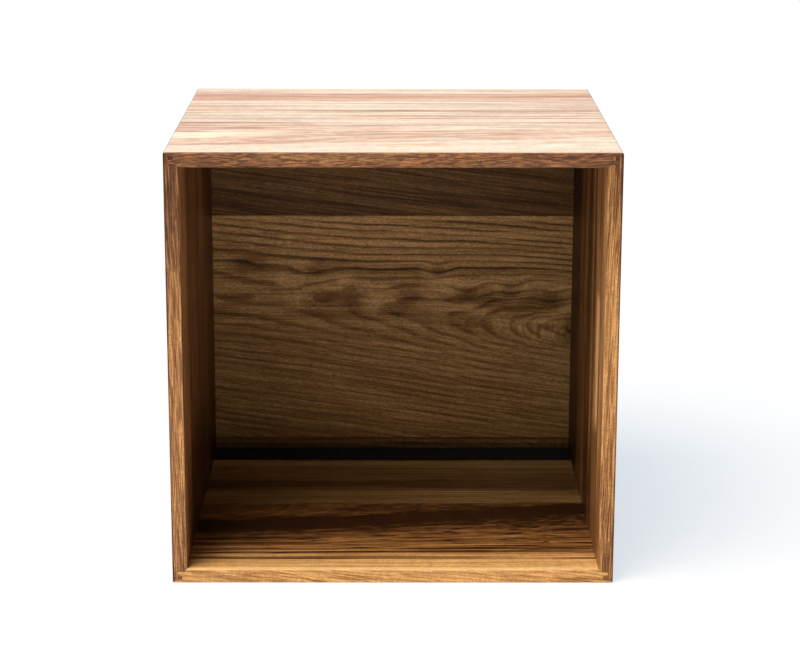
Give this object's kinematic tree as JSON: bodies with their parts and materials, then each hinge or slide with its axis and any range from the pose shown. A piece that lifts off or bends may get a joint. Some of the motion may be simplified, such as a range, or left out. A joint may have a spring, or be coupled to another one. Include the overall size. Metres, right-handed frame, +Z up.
{
  "type": "record storage stand",
  "caption": "Open-fronted hardwood case that stands on its base and holds long-playing records on edge, with lock-mitre corners and a lapped back in a rebate.",
  "frame": {"origin": "middle of the base, on the surface the stand rests on", "axes": "+X to the right seen from the front, +Y from the open front to the back, +Z up"},
  "size_m": [0.356, 0.331, 0.3525],
  "materials": {
    "case_hardwood": "satin oiled, streaky light and dark brown, grain along each board",
    "back_hardwood": "satin oiled, level boards with a wavy cathedral figure",
    "black_felt": "matt black felt, self-adhesive",
    "pin_steel": "plain bright steel panel pins"
  },
  "bodies": {
    "root": {"top_front_board": "case_hardwood", "top_rear_board": "case_hardwood", "bottom_front_board": "case_hardwood", "bottom_rear_board": "case_hardwood", "left_side_front_board": "case_hardwood", "left_side_rear_board": "case_hardwood", "right_side_front_board": "case_hardwood", "right_side_rear_board": "case_hardwood", "back_board_upper": "back_hardwood", "back_board_middle": "back_hardwood", "back_board_lower": "back_hardwood", "rear_floor_strip": "black_felt", "back_pin_01": "pin_steel", "back_pin_02": "pin_steel", "back_pin_03": "pin_steel", "back_pin_04": "pin_steel", "back_pin_05": "pin_steel", "back_pin_06": "pin_steel", "back_pin_07": "pin_steel", "back_pin_08": "pin_steel", "back_pin_09": "pin_steel", "back_pin_10": "pin_steel", "back_pin_11": "pin_steel", "back_pin_12": "pin_steel", "back_pin_13": "pin_steel", "back_pin_14": "pin_steel", "back_pin_15": "pin_steel", "back_pin_16": "pin_steel", "back_pin_17": "pin_steel", "back_pin_18": "pin_steel"}
  },
  "joints": []
}
